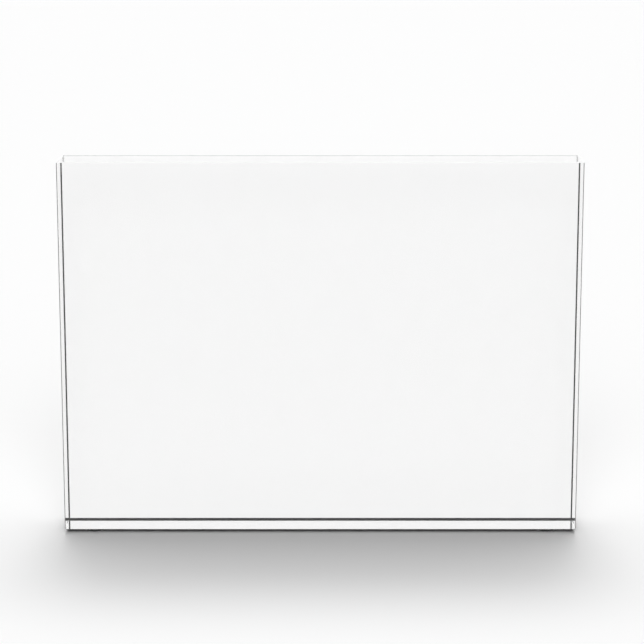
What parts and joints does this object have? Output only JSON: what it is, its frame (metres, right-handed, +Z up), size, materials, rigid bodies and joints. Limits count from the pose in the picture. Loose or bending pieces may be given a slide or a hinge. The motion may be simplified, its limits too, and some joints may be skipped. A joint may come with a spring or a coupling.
{
  "type": "acrylic photo block",
  "caption": "Free-standing block of clear polished acrylic with bevelled edges, a print bonded to its rear face, a dark backing sheet and low dark feet.",
  "frame": {"origin": "bottom centre of the whole part, on the surface it stands on", "axes": "+Z up, +X along the long side, +Y from the viewing face to the backing, so the viewing face looks along -Y"},
  "size_m": [0.18, 0.0206, 0.1313],
  "materials": {
    "clear_acrylic": "clear cast acrylic, polished faces and bevels",
    "clear_film": "clear double-sided adhesive film",
    "print_paper": "white photo paper, satin",
    "black_adhesive": "black pressure-sensitive adhesive",
    "black_sheet": "matt black plastic sheet, fine grain",
    "dark_bumper": "black rubber, satin"
  },
  "bodies": {
    "root": {"acrylic_block": "clear_acrylic", "mounting_film": "clear_film", "photo_print": "print_paper", "backing_adhesive": "black_adhesive", "backing_sheet": "black_sheet", "foot_front_left": "dark_bumper", "foot_front_right": "dark_bumper", "foot_rear_left": "dark_bumper", "foot_rear_right": "dark_bumper"}
  },
  "joints": []
}
